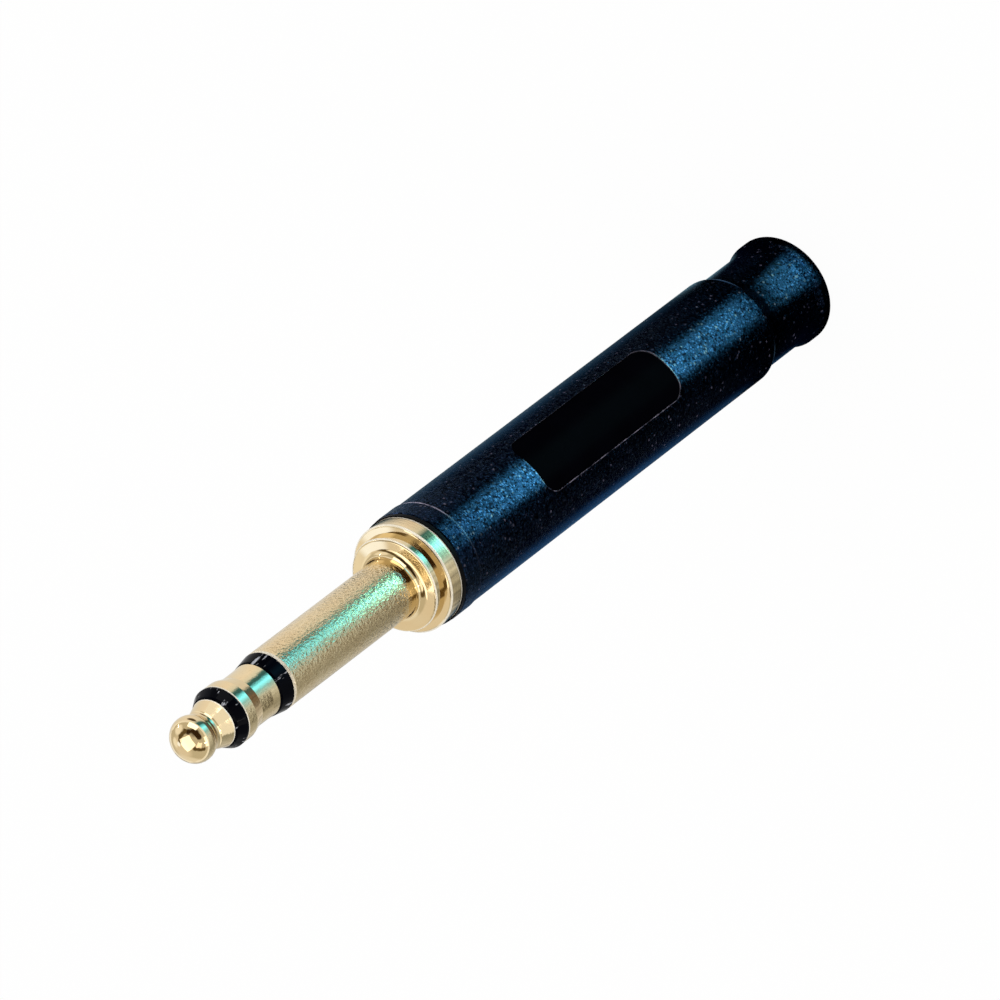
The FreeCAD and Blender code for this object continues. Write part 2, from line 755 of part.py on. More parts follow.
def swept_part(body, name, low, high, sweep):
    """Part of a tube about the axis, centred on the -Y side."""
    sketch = new_sketch(body, name + "_profile", "YZ_Plane")
    outline(sketch, [(-point[0], point[1]) for point in
                     tube_points(ground_inside, ground_disc, low, high)])
    DOC.recompute()
    solid = body.newObject("PartDesign::Revolution", name)
    solid.Profile = sketch
    solid.ReferenceAxis = (sketch, ["V_Axis"])
    solid.Midplane = True
    solid.Angle = sweep.value
    solid.setExpression("Angle", sweep.text)
    DOC.recompute()
    return solid


def ground_lug():
    body = new_body("ground_lug")
    inner = nose_radius + D["slip_gap"]
    turn_profile(body, "ground_lug", tube_points(inner, ground_disc, step_low - D["lug_thick"], step_low))
    swept_part(body, "ground_strap", barrel_high, step_low, D["strap_sweep"])
    swept_part(body, "cable_barrel", barrel_low, barrel_high, D["barrel_sweep"])
    return body


def crimp_ferrule():
    low = barrel_low + D["ferrule_inset"]
    return turned_piece("crimp_ferrule", tube_points(ferrule_inner, ferrule_outer, low,
                                                     low + D["ferrule_length"]))


def liner():
    low = barrel_high + D["liner_lift"]
    return turned_piece("liner", tube_points(liner_inner, liner_outer, low, thread_low))


# Build, check and write every piece

PIECES = [
    shell, collar_washer, sleeve_contact, ring_insulator, ring_contact, ring_tube, tube_insulation,
    tip_insulator, tip_contact, centre_rod, rod_insulation, rear_bush, ring_lug, lug_spacer, tip_lug,
    rivet_washer, ground_lug, crimp_ferrule, liner,
]


def main():
    pieces = []
    for make in PIECES:
        piece = make()
        piece.Label = make.__name__
        pieces.append(piece)
    DOC.recompute()
    for item in DOC.Objects:
        if "Invalid" in item.State or "Error" in item.State:
            raise ValueError(item.Name + " failed")
    for piece in pieces:
        shape = piece.Shape
        if shape.isNull() or not shape.isValid() or len(shape.Solids) != 1:
            raise ValueError(piece.Label + " isn't one sound solid")
    os.makedirs("parts", exist_ok=True)
    for piece in pieces:
        piece.Shape.exportStep("parts/%s.step" % piece.Label)
        print("%-16s %8.3f mm3" % (piece.Label, piece.Shape.Volume))


main()
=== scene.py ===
"""Looks of a stereo jack plug: finishes for every piece, the two screw threads, and a small studio."""
import math

import bpy
from mathutils import Matrix, Vector


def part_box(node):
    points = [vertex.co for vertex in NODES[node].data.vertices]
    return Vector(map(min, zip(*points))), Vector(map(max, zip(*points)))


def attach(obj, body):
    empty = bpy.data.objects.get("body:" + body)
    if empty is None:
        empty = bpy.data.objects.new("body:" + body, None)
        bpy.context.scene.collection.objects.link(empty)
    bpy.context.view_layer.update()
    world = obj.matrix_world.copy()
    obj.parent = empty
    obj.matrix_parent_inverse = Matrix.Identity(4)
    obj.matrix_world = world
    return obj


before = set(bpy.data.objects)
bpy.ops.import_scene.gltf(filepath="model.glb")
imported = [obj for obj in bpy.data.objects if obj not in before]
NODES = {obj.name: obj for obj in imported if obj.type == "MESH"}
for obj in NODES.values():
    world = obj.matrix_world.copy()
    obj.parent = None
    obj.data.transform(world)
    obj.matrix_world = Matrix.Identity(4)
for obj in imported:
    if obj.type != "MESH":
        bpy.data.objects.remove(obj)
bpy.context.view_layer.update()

bl_info = {
    "name": "Stereo jack plug",
    "version": (1, 0, 0),
    "blender": (4, 5, 0),
    "location": "View3D > Sidebar > Jack plug",
    "description": "Dresses a stereo jack plug with its finishes and threads",
    "category": "Object",
}

MM = 0.001

# Heights on the plug's axis and radii from it, in metres; the plug stands on its tail
PLUG_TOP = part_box("tip_contact")[1].z
BAND_STEP = 43.25 * MM
# Height and width of a band of painted shade under the shell's shoulder
SHOULDER_SHADE_HEIGHT = 6.55 * MM
SHOULDER_SHADE_WIDTH = 0.8 * MM
FINGER_REAR = 48.2 * MM
SKIRT_EDGE = 68.1 * MM

# Edges of the collar's front, the collar's rear and the boss's front: height, width of the painted highlight
# line
COLLAR_EDGES = ((46.44 * MM, 0.09 * MM), (45.37 * MM, 0.07 * MM), (47.41 * MM, 0.08 * MM))

# The screw thread: radii of the sleeve and of the shell's bore, its two ends, and its relief in a bump
# for all that lies within a radius
THREAD_RADIUS = 3.5 * MM
BORE_RADIUS = 3.55 * MM
THREAD_LOW = 41.4 * MM
THREAD_HIGH = 44.6 * MM
THREAD_WITHIN = 3.8 * MM
THREAD_RELIEF = 0.12 * MM

# The sunk label panel on the -Y side: its outline, and radii that tell its wall and floor from the barrel
PANEL_HALF_WIDTH = 2.25 * MM
PANEL_LOW = 18.0 * MM
PANEL_HIGH = 34.4 * MM
PANEL_CORNER = 1.15 * MM
PANEL_MARGIN = 0.1 * MM
PANEL_DEEPEST = 3.9 * MM
PANEL_FLOOR = 4.035 * MM
PANEL_SKIN = 4.079 * MM
WALL_FACING = 0.6

# The painted highlight line on that outline: how far out it lies, where it thins out, and where it is
# brighter
RIM_OFFSET = 0.01 * MM
RIM_EDGE = (0.02 * MM, 0.06 * MM)
RIM_LIT_SIDE = -1.4 * MM
RIM_LIT_END = (18.6 * MM, 19.6 * MM)

# Where the front band's step gets a painted highlight: the side's angle, and how far out on that side it
# starts and is full
HIGHLIGHT_ANGLE = math.radians(-50)
HIGHLIGHT_FROM = 3.4 * MM
HIGHLIGHT_FULL = 3.9 * MM

# The photograph's camera: angles in degrees, lengths in millimetres
VIEW_TILT = 45.157
VIEW_ROLL = 37.3472
VIEW_DISTANCE = 673.934
VIEW_OFFSET = (-0.57684, -0.76114)
AIM_HEIGHT = 36.0
PANEL_TURN = 9.9

# Reflector under the plug: degrees round the axis from the camera's side, and a colour. Upright walls
# mirror it, the shell in its inner zone and the contacts in the outer one; slopes that face backward
# look down steeply, the shell's own at the near zone. None stands for the streak.
SHELL_ZONE = (
    (-150, (0.04, 0.10, 0.18)), (-128, (0.03, 0.10, 0.20)), (-108, (0.002, 0.004, 0.02)),
    (-23, (0.004, 0.004, 0.008)), (-3, None), (24, None), (43, (0.003, 0.004, 0.02)),
    (104, (0.003, 0.006, 0.02)), (128, (0.03, 0.08, 0.12)), (160, (0.08, 0.12, 0.14)))
NEAR_ZONE = (
    (-150, (0.10, 0.16, 0.20)), (-104, (0.10, 0.16, 0.20)), (-84, (0.002, 0.002, 0.004)),
    (54, (0.002, 0.002, 0.004)), (74, (0.14, 0.22, 0.30)), (150, (0.14, 0.22, 0.30)))
CONTACT_ZONE = (
    (-130, (0.32, 0.32, 0.31)), (-84, (0.18, 0.18, 0.16)), (-56, (0.28, 0.28, 0.26)),
    (-30, (0.38, 0.40, 0.40)), (-6, (0.17, 0.38, 0.48)), (12, None), (25, (0.08, 0.36, 0.52)),
    (32, (0.02, 0.07, 0.09)), (43, (0.03, 0.10, 0.12)), (54, (0.44, 0.46, 0.46)),
    (76, (0.53, 0.50, 0.48)), (150, (0.44, 0.44, 0.44)))
STEEP_ZONE = (
    (-120, (0.34, 0.33, 0.31)), (-50, (0.10, 0.08, 0.06)), (-10, (0.10, 0.07, 0.05)),
    (40, (0.03, 0.07, 0.08)), (58, (0.44, 0.43, 0.41)), (150, (0.46, 0.45, 0.43)))

# The reflector's sizes, and radii on it where something starts and ends, in metres
REFLECTOR_SIZE = 0.3
REFLECTOR_HEIGHT = 0.01 * MM
ZONE_EDGE = (48.45 * MM, 49.45 * MM)
TAIL_EDGE = (4.6 * MM, 5.2 * MM)
SHOULDER_MIDDLE = 10.0 * MM
SHOULDER_GAP = (1.4 * MM, 1.9 * MM)
REAR_FADE = (12 * MM, 34 * MM)
FRONT_FADE = (40 * MM, 47 * MM)
TAIL_SHEEN = (9 * MM, 12 * MM)
STEEP_START = (11 * MM, 14 * MM)
RING_PATCH_MIDDLE = 67 * MM
RING_PATCH_EDGE = (2.8 * MM, 4.0 * MM)
DARK_SPOT = (46 * MM, 140 * MM, 0)
DARK_SPOT_EDGE = (45 * MM, 60 * MM)

# Parts of a whole turn on it, counted from the side away from the camera
TAIL_SHEEN_TURN = (0.80, 0.86)
RING_PATCH_TURN = 0.335
RING_PATCH_SPREAD = (0.055, 0.105)
MOTTLED_TURN = (0.46, 0.50)

# How steeply gloss looks down on it, where 0 is straight down: below the low value the slope that
# mirrors it faces backward
STEEP_FACING = (0.19, 0.24)
NEAR_FACING = (0.16, 0.22)

# Its colours apart from the zones
TAIL_SHEEN_COLOR = (0.14, 0.24, 0.27)
DARK_SPOT_COLOR = (0.06, 0.045, 0.03)
RING_PATCH_COLOR = (0.03, 0.024, 0.012)

# What gloss sees above the floor: degrees round the axis from the camera's side and above the floor,
# radius in degrees, colour
ROOM = (0.60, 0.56, 0.47)
DARK = (0.035, 0.018, 0.006)
GAP = (0.12, 0.085, 0.035)
PANE = (1.0, 0.98, 0.94)
SILL = (0.86, 0.83, 0.78)
WALL = (0.80, 0.74, 0.66)
LAMP = (1.15, 1.25, 1.5)
ROOM_PATCHES = (
    (180, 46, 34, WALL), (-150, 0, 26, SILL), (112, 24, 18, PANE), (158, 26, 12, PANE),
    (22, 36, 24, DARK), (58, 46, 14, DARK), (-6, 32, 15, DARK), (84, 47, 9, GAP), (104, 50, 9, GAP),
    (122, 50, 9, GAP), (141, 53, 9, GAP), (-90, 56, 9, GAP), (-82, 44, 9, GAP), (-77, 31, 9, GAP),
    (-74, 19, 8, GAP), (161, 45, 7, LAMP))
# A patch starts and is full at these parts of its radius
PATCH_EDGE = (1.2, 0.75)

# Soft lights: name, degrees round the axis from the camera's side and above the floor, size in metres,
# share of the light's power, colour
LIGHT_DISTANCE = 0.6
LIGHTS = (
    ("light_left", 47, 10, (0.48, 0.36), 0.8, (1, 1, 1)),
    ("light_top", 176, 84, (0.54, 0.54), 1.1, (1, 0.98, 0.93)),
    ("light_right", -57, 47, (0.26, 0.26), 0.18, (1, 0.92, 0.82)),
    ("light_low", -42, 6, (0.46, 0.18), 0.32, (1, 0.95, 0.86)),
    ("light_glint", 112, 14, (0.01, 0.16), 0.05, (1, 1, 1)),
    ("light_glint", -46, 14, (0.01, 0.16), 0.05, (1, 1, 1)))

FLOOR_SIZE = 6.0
FLOOR_HEIGHT = -0.02 * MM

# Colours that settings don't give: painted highlights on edges, pale scuffs that are also painted glints, and
# the sunk panel
STEP_HIGHLIGHT_COLOR = (0.42, 0.38, 0.50)
RIM_HIGHLIGHT_COLOR = (0.20, 0.18, 0.24)
EDGE_HIGHLIGHT_GOLD = (0.97, 0.90, 0.76)
SCUFF_GLINT_COLOR = (0.62, 0.64, 0.70)
PANEL_COLORS = ((0.0004, 0.0004, 0.0008), (0.0010, 0.0011, 0.0024))
# Pale paint on the panel's wall, a painted highlight
PANEL_WALL_HIGHLIGHT_COLORS = ((0.012, 0.012, 0.02), (0.16, 0.15, 0.19))

# Depths of marks in a bump, in metres
PAINT_GRAIN = 0.005 * MM
PANEL_GRAIN = 0.002 * MM
WALL_GRAIN = 0.003 * MM
METAL_SCRATCH = 0.004 * MM
PLASTIC_GRAIN = 0.0015 * MM

CLEAR_IOR = 1.3


# Sizes and colours that a user may change

class JackStageSettings(bpy.types.PropertyGroup):
    floor_color: bpy.props.FloatVectorProperty(
        name="Floor colour", description="Colour of the floor", subtype="COLOR",
        size=3, min=0, max=1, default=(0.98, 0.98, 0.98))
    floor_glow: bpy.props.FloatProperty(
        name="Floor white", description="Share of plain white in the floor as it is seen or mirrored",
        subtype="FACTOR", min=0, max=1, default=0.95)
    light_power: bpy.props.FloatProperty(
        name="Light", description="Power of the largest soft light", unit="POWER", min=0, default=1.0)
    room_light: bpy.props.FloatProperty(
        name="Room light", description="Even light from all round", min=0, default=0.6)
    reflector_strength: bpy.props.FloatProperty(
        name="Reflector", description="Brightness of the coloured reflector under the plug",
        min=0, default=1.8)
    streak_color: bpy.props.FloatVectorProperty(
        name="Streak colour", description="Colour of the long streak along the plug",
        subtype="COLOR", size=3, min=0, soft_max=2, default=(0.21, 0.90, 1.36))
    shell_streak: bpy.props.FloatVectorProperty(
        name="Shell streak", description="Light of the streak under the dark shell",
        subtype="COLOR", size=3, min=0, soft_max=10, default=(2.6, 7.0, 6.2))


class JackShellSettings(bpy.types.PropertyGroup):
    paint_color: bpy.props.FloatVectorProperty(
        name="Paint", description="Colour between the flakes", subtype="COLOR",
        size=3, min=0, max=1, default=(0.0006, 0.0010, 0.0040))
    flake_color: bpy.props.FloatVectorProperty(
        name="Flake", description="Colour of the flakes", subtype="COLOR",
        size=3, min=0, max=1, default=(0.008, 0.0175, 0.050))
    dust_color: bpy.props.FloatVectorProperty(
        name="Dust", description="Colour of the few pale grains", subtype="COLOR",
        size=3, min=0, max=1, default=(0.080, 0.072, 0.110))
    flake_pitch: bpy.props.FloatProperty(
        name="Flake size", description="Distance between neighbouring flakes", unit="LENGTH",
        subtype="DISTANCE", min=0.00002, default=0.00014)
    thread_pitch: bpy.props.FloatProperty(
        name="Thread pitch", description="Rise of the screw thread in one turn", unit="LENGTH",
        subtype="DISTANCE", min=0.0002, default=0.0005)


class JackMetalSettings(bpy.types.PropertyGroup):
    gold_color: bpy.props.FloatVectorProperty(
        name="Gold", description="Colour of the gold plating", subtype="COLOR",
        size=3, min=0, max=1, default=(0.87, 0.72, 0.45))
    brass_color: bpy.props.FloatVectorProperty(
        name="Brass", description="Colour of the bare brass", subtype="COLOR",
        size=3, min=0, max=1, default=(0.70, 0.50, 0.22))
    tin_color: bpy.props.FloatVectorProperty(
        name="Tin", description="Colour of the tin plating", subtype="COLOR",
        size=3, min=0, max=1, default=(0.66, 0.66, 0.64))


# Node helpers

def link(tree, source, target):
    tree.links.new(source, target)


def math_node(tree, operation, first, second=None, clamp=False):
    """A Math node whose inputs are numbers or sockets; gives its output."""
    node = tree.nodes.new("ShaderNodeMath")
    node.operation = operation
    node.use_clamp = clamp
    for index, item in enumerate((first, second)):
        if item is None:
            continue
        if isinstance(item, (int, float)):
            node.inputs[index].default_value = item
        else:
            link(tree, item, node.inputs[index])
    return node.outputs[0]


def product(tree, *items):
    """The product of two or more numbers or sockets."""
    total = items[0]
    for item in items[1:]:
        total = math_node(tree, "MULTIPLY", total, item)
    return total


def distance_to(tree, value, middle):
    """How far a value lies from a middle one, on either side."""
    return math_node(tree, "ABSOLUTE", math_node(tree, "SUBTRACT", value, middle))


def mix_colors(tree, factor, first, second):
    """A colour from first to second; each input is a number, a colour or a socket."""
    node = tree.nodes.new("ShaderNodeMix")
    node.data_type = "RGBA"
    for name, item in (("Factor", factor), ("A", first), ("B", second)):
        socket = node.inputs[name]
        if isinstance(item, (int, float)):
            socket.default_value = item
        elif isinstance(item, (tuple, list)):
            socket.default_value = (*item[:3], 1)
        else:
            link(tree, item, socket)
    return next(s for s in node.outputs if s.type == "RGBA")


def scaled(color, factors):
    return tuple(channel * factor for channel, factor in zip(color, factors))


def spread(tree, value, low, high, new_low=0.0, new_high=1.0):
    """Maps a value from one range to another and keeps it inside."""
    node = tree.nodes.new("ShaderNodeMapRange")
    link(tree, value, node.inputs["Value"])
    for name, number in (("From Min", low), ("From Max", high), ("To Min", new_low), ("To Max", new_high)):
        node.inputs[name].default_value = number
    return node.outputs["Result"]


def varied(tree, value, low, high):
    """From low to high over the range that a noise mostly keeps to."""
    return spread(tree, value, 0.3, 0.7, low, high)


def place(tree):
    """Place on the plug, in metres in its own frame, whatever pose it is in."""
    return tree.nodes.new("ShaderNodeTexCoord").outputs["Object"]


def split(tree, vector):
    """The X, Y and Z of a vector."""
    node = tree.nodes.new("ShaderNodeSeparateXYZ")
    link(tree, vector, node.inputs[0])
    return node.outputs


def combine(tree, **parts):
    """A vector from some of X, Y and Z; the others are 0."""
    node = tree.nodes.new("ShaderNodeCombineXYZ")
    for name, socket in parts.items():
        link(tree, socket, node.inputs[name])
    return node.outputs[0]


def vector_math(tree, operation, vector, other=None):
    """A Vector Math node; other is a fixed vector. Gives a number where the operation has one."""
    node = tree.nodes.new("ShaderNodeVectorMath")
    node.operation = operation
    link(tree, vector, node.inputs[0])
    if other is not None:
        node.inputs[1].default_value = other
    return node.outputs["Value" if operation in ("LENGTH", "DISTANCE", "DOT_PRODUCT") else "Vector"]


def axis_distance(tree):
    """Distance from the plug's axis."""
    return vector_math(tree, "LENGTH", vector_math(tree, "MULTIPLY", place(tree), (1.0, 1.0, 0.0)))


def noise(tree, vector, scale, detail=2.0, roughness=0.5):
    node = tree.nodes.new("ShaderNodeTexNoise")
    link(tree, vector, node.inputs["Vector"])
    if isinstance(scale, (int, float)):
        node.inputs["Scale"].default_value = scale
    else:
        link(tree, scale, node.inputs["Scale"])
    node.inputs["Detail"].default_value = detail
    node.inputs["Roughness"].default_value = roughness
    return node.outputs["Fac"]


# Shared effects

def new_group(name, inputs, outputs):
    """An empty effect with named values in and out."""
    group = bpy.data.node_groups.new(name, "ShaderNodeTree")
    for label, default in inputs:
        socket = group.interface.new_socket(label, in_out="INPUT", socket_type="NodeSocketFloat")
        socket.default_value = default
    for label in outputs:
        group.interface.new_socket(label, in_out="OUTPUT", socket_type="NodeSocketFloat")
    start = group.nodes.new("NodeGroupInput")
    end = group.nodes.new("NodeGroupOutput")
    return group, start, end


def flake_effect():
    """Flakes scattered in paint: a mask, then for each flake a glint, a tint and a height."""
    group, start, end = new_group("flake_effect", (("Density", 6000.0), ("Share", 0.4), ("Gap", 0.3)),
                                  ("Mask", "Glint", "Tint", "Height"))
    cells = group.nodes.new("ShaderNodeTexVoronoi")
    link(group, place(group), cells.inputs["Vector"])
    link(group, start.outputs["Density"], cells.inputs["Scale"])
    parts = group.nodes.new("ShaderNodeSeparateColor")
    link(group, cells.outputs["Color"], parts.inputs["Color"])
    chosen = math_node(group, "LESS_THAN", parts.outputs["Red"], start.outputs["Share"])
    core, rim = 0.30, 0.75
    near = math_node(group, "MAXIMUM", spread(group, cells.outputs["Distance"], core, rim, 1.0, 0.0),
                     start.outputs["Gap"])
    mask = math_node(group, "MULTIPLY", chosen, near, clamp=True)
    link(group, mask, end.inputs["Mask"])
    glint = math_node(group, "POWER", parts.outputs["Green"], 3.0)
    link(group, math_node(group, "MULTIPLY", glint, mask, clamp=True), end.inputs["Glint"])
    link(group, parts.outputs["Blue"], end.inputs["Tint"])
    link(group, product(group, parts.outputs["Blue"], mask), end.inputs["Height"])
    return group


def grain_effect():
    """Soft uneven clouds and fine grain, as values from 0 to 1."""
    group, start, end = new_group("grain_effect", (("Cloud Scale", 300.0), ("Grain Scale", 9000.0)),
                                  ("Cloud", "Grain"))
    where = place(group)
    link(group, noise(group, where, start.outputs["Cloud Scale"], 3.0), end.inputs["Cloud"])
    link(group, noise(group, where, start.outputs["Grain Scale"], 2.0, 0.6), end.inputs["Grain"])
    return group


def turning_effect():
    """Fine rings that a lathe leaves round the axis, uneven from ring to ring, and scratches along it."""
    group, start, end = new_group("turning_effect", (("Ring Scale", 9000.0), ("Scratch Scale", 2600.0)),
                                  ("Rings", "Scratches"))
    where = place(group)
    along = combine(group, X=product(group, split(group, where)["Z"], start.outputs["Ring Scale"]))
    link(group, noise(group, along, 1.0, 3.0, 0.65), end.inputs["Rings"])
    thin = vector_math(group, "MULTIPLY", where, (1.0, 1.0, 0.07))
    link(group, noise(group, thin, start.outputs["Scratch Scale"], 4.0, 0.7), end.inputs["Scratches"])
    return group


def stipple_effect():
    """Fine uneven pits of a plated skin beyond a height: their relief, and a mask of the deeper ones."""
    group, start, end = new_group("stipple_effect", (("Pit Scale", 4600.0), ("From Height", 0.0)),
                                  ("Height", "Pits", "Inside"))
    where = place(group)
    beyond = math_node(group, "SUBTRACT", split(group, where)["Z"], start.outputs["From Height"])
    inside = spread(group, beyond, 0.0, 0.6 * MM)
    value = noise(group, where, start.outputs["Pit Scale"], 2.0, 0.65)
    deep, shallow = 0.34, 0.46
    link(group, product(group, value, inside), end.inputs["Height"])
    link(group, product(group, spread(group, value, shallow, deep), inside), end.inputs["Pits"])
    link(group, inside, end.inputs["Inside"])
    return group


def edge_effect():
    """A band near one height on the axis: how near it is, and a broken line on it that is painted bright as a
    highlight.
    """
    group, start, end = new_group(
        "edge_effect", (("Edge Height", 0.045), ("Band Width", 0.0002), ("Broken", 1.0)), ("Near", "Highlight"))
    where = place(group)
    off = distance_to(group, split(group, where)["Z"], start.outputs["Edge Height"])
    near = math_node(group, "SUBTRACT", 1.0, math_node(group, "DIVIDE", off, start.outputs["Band Width"]),
                     clamp=True)
    full_gap, no_gap = 0.34, 0.52
    gaps = spread(group, noise(group, where, 420.0, 4.0, 0.7), no_gap, full_gap)
    whole = math_node(group, "SUBTRACT", 1.0, product(group, gaps, start.outputs["Broken"]))
    full = math_node(group, "MULTIPLY", near, 1.6, clamp=True)
    link(group, near, end.inputs["Near"])
    link(group, math_node(group, "MULTIPLY", full, whole, clamp=True), end.inputs["Highlight"])
    return group


def thread_effect():
    """Relief of a screw thread between two heights, inside a radius; crest 1, root 0."""
    group, start, end = new_group(
        "thread_effect", (("Pitch", 0.0005), ("Low", 0.0), ("High", 0.001), ("Within", 0.0038)), ("Height",))
    parts = split(group, place(group))
    angle = math_node(group, "ARCTAN2", parts["Y"], parts["X"])
    turns = math_node(group, "DIVIDE", angle, 2 * math.pi)
    rise = math_node(group, "DIVIDE", math_node(group, "SUBTRACT", parts["Z"], start.outputs["Low"]),
                     start.outputs["Pitch"])
    wave = math_node(group, "PINGPONG", math_node(group, "SUBTRACT", rise, turns), 0.5)
    above = math_node(group, "GREATER_THAN", parts["Z"], start.outputs["Low"])
    below = math_node(group, "LESS_THAN", parts["Z"], start.outputs["High"])
    inner = math_node(group, "LESS_THAN", axis_distance(group), start.outputs["Within"])
    link(group, product(group, wave, 2.0, above, below, inner), end.inputs["Height"])
    return group


EFFECTS = {}


def effect(tree, name, **values):
    """Places a shared effect in a material with its own values."""
    makers = {"flake": flake_effect, "grain": grain_effect, "turning": turning_effect,
              "stipple": stipple_effect, "edge": edge_effect, "thread": thread_effect}
    if name not in EFFECTS:
        EFFECTS[name] = makers[name]()
    node = tree.nodes.new("ShaderNodeGroup")
    node.node_tree = EFFECTS[name]
    for label, number in values.items():
        node.inputs[label.replace("_", " ")].default_value = number
    return node.outputs


def new_material(name):
    material = bpy.data.materials.new(name)
    material.use_nodes = True
    tree = material.node_tree
    shader = next(node for node in tree.nodes if node.type == "BSDF_PRINCIPLED")
    return material, tree, shader


def bump(tree, shader, height, depth, strength=1.0):
    """Relief from a height, which is in metres where the depth is 1."""
    node = tree.nodes.new("ShaderNodeBump")
    node.inputs["Strength"].default_value = strength
    node.inputs["Distance"].default_value = depth
    link(tree, height, node.inputs["Height"])
    link(tree, node.outputs["Normal"], shader.inputs["Normal"])


# Finishes

def thread_relief(tree, pitch):
    """Height of the screw thread's ridges, in metres."""
    ridges = effect(tree, "thread", Pitch=pitch, Low=THREAD_LOW, High=THREAD_HIGH, Within=THREAD_WITHIN)
    return product(tree, ridges["Height"], THREAD_RELIEF)


def panel_rim(tree):
    """A thin painted highlight line round the label panel, brighter on one side and at the low end; 1 on it,
    0 off it.
    """
    parts = split(tree, place(tree))
    middle, half = (PANEL_LOW + PANEL_HIGH) / 2, (PANEL_HIGH - PANEL_LOW) / 2
    aside = math_node(tree, "SUBTRACT", math_node(tree, "ABSOLUTE", parts["X"]),
                      PANEL_HALF_WIDTH - PANEL_CORNER)
    along = math_node(tree, "SUBTRACT", distance_to(tree, parts["Z"], middle), half - PANEL_CORNER)
    outer = combine(tree, X=math_node(tree, "MAXIMUM", aside, 0.0), Y=math_node(tree, "MAXIMUM", along, 0.0))
    inner = math_node(tree, "MINIMUM", math_node(tree, "MAXIMUM", aside, along), 0.0)
    reach = math_node(tree, "ADD", vector_math(tree, "LENGTH", outer), inner)
    line = spread(tree, distance_to(tree, reach, PANEL_CORNER + RIM_OFFSET), *RIM_EDGE, 1.0, 0.0)
    front = math_node(tree, "LESS_THAN", parts["Y"], 0.0)
    faint = 0.12
    broken = spread(tree, noise(tree, place(tree), 900.0, 3.0, 0.7), 0.42, 0.58, faint, 1.0)
    highlighted = math_node(tree, "MAXIMUM", spread(tree, parts["X"], RIM_LIT_SIDE, 0.0, 1.0, faint),
                       spread(tree, parts["Z"], *RIM_LIT_END, 0.8, faint))
    return product(tree, line, front, highlighted, broken)


def highlight_side(tree, low, high):
    """From low to high towards the side where the front band's step gets a painted highlight, about 45
    degrees from the panel.
    """
    side = vector_math(tree, "DOT_PRODUCT", place(tree), (math.cos(HIGHLIGHT_ANGLE), math.sin(HIGHLIGHT_ANGLE), 0))
    return spread(tree, side, HIGHLIGHT_FROM, HIGHLIGHT_FULL, low, high)


def shell_paint(settings):
    """Near-black paint with blue flakes, and painted shade in a band under the shoulder; the front band's
    step and the panel's rim get painted highlight lines."""
    material, tree, shader = new_material("textured_black")
    paint, flake = tuple(settings.paint_color), tuple(settings.flake_color)
    teal, bright = scaled(flake, (0.7, 1.25, 1.0)), scaled(flake, (4.2, 3.4, 2.8))
    flakes = effect(tree, "flake", Density=1.0 / settings.flake_pitch, Share=0.85, Gap=0.35)
    dust = effect(tree, "flake", Density=0.75 / settings.flake_pitch, Share=0.10, Gap=0.0)
    clouds = effect(tree, "grain", Cloud_Scale=240.0, Grain_Scale=9000.0)
    band = effect(tree, "edge", Edge_Height=BAND_STEP + 0.06 * MM, Band_Width=0.09 * MM, Broken=0.8)
    shoulder_shade = effect(tree, "edge", Edge_Height=SHOULDER_SHADE_HEIGHT, Band_Width=SHOULDER_SHADE_WIDTH, Broken=0.0)

    tinted = mix_colors(tree, flakes["Tint"], flake, teal)
    flaked = mix_colors(tree, flakes["Mask"], paint, tinted)
    glinting = mix_colors(tree, flakes["Glint"], flaked, bright)
    clouded = mix_colors(tree, spread(tree, clouds["Cloud"], 0.4, 0.7, 0.0, 0.35), glinting, paint)
    dusted = mix_colors(tree, dust["Glint"], clouded, tuple(settings.dust_color))
    # Painted shade: the flakes give way to bare dark paint in a band under the shoulder
    shaded = mix_colors(tree, spread(tree, shoulder_shade["Near"], 0.15, 0.6, 0.0, 0.95), dusted, paint)
    # Painted highlight: a pale lilac line on the front band's step, on the side turned towards the light
    step_highlight = product(tree, band["Highlight"], highlight_side(tree, 0.07, 0.9))
    highlighted = mix_colors(tree, step_highlight, shaded, STEP_HIGHLIGHT_COLOR)
    # Painted highlight: a thin pale line round the panel, strongest on one long side and at the low end
    rim = panel_rim(tree)
    link(tree, mix_colors(tree, rim, highlighted, RIM_HIGHLIGHT_COLOR), shader.inputs["Base Color"])

    # The painted highlight lines and the pale dust grains are not metal
    highlight_lines = math_node(tree, "MAXIMUM", step_highlight, rim)
    dull = math_node(tree, "MAXIMUM", highlight_lines, product(tree, dust["Glint"], 0.9))
    link(tree, math_node(tree, "SUBTRACT", 1.0, dull), shader.inputs["Metallic"])
    shader.inputs["Specular Tint"].default_value = (0.75, 0.86, 1.0, 1)
    link(tree, spread(tree, flakes["Tint"], 0.0, 1.0, 0.13, 0.30), shader.inputs["Roughness"])
    grains = math_node(tree, "ADD", flakes["Height"], product(tree, clouds["Grain"], 0.5))
    height = math_node(tree, "ADD", product(tree, grains, PAINT_GRAIN),
                       thread_relief(tree, settings.thread_pitch))
    bump(tree, shader, height, 1.0)
    return material


def panel_paint():
    """Smooth black of the sunk label panel."""
    material, tree, shader = new_material("panel_black")
    clouds = effect(tree, "grain", Cloud_Scale=500.0, Grain_Scale=6000.0)
    link(tree, mix_colors(tree, clouds["Cloud"], *PANEL_COLORS), shader.inputs["Base Color"])
    link(tree, varied(tree, clouds["Grain"], 0.16, 0.24), shader.inputs["Roughness"])
    shader.inputs["Specular IOR Level"].default_value = 0.0008
    bump(tree, shader, clouds["Grain"], PANEL_GRAIN, 0.4)
    return material


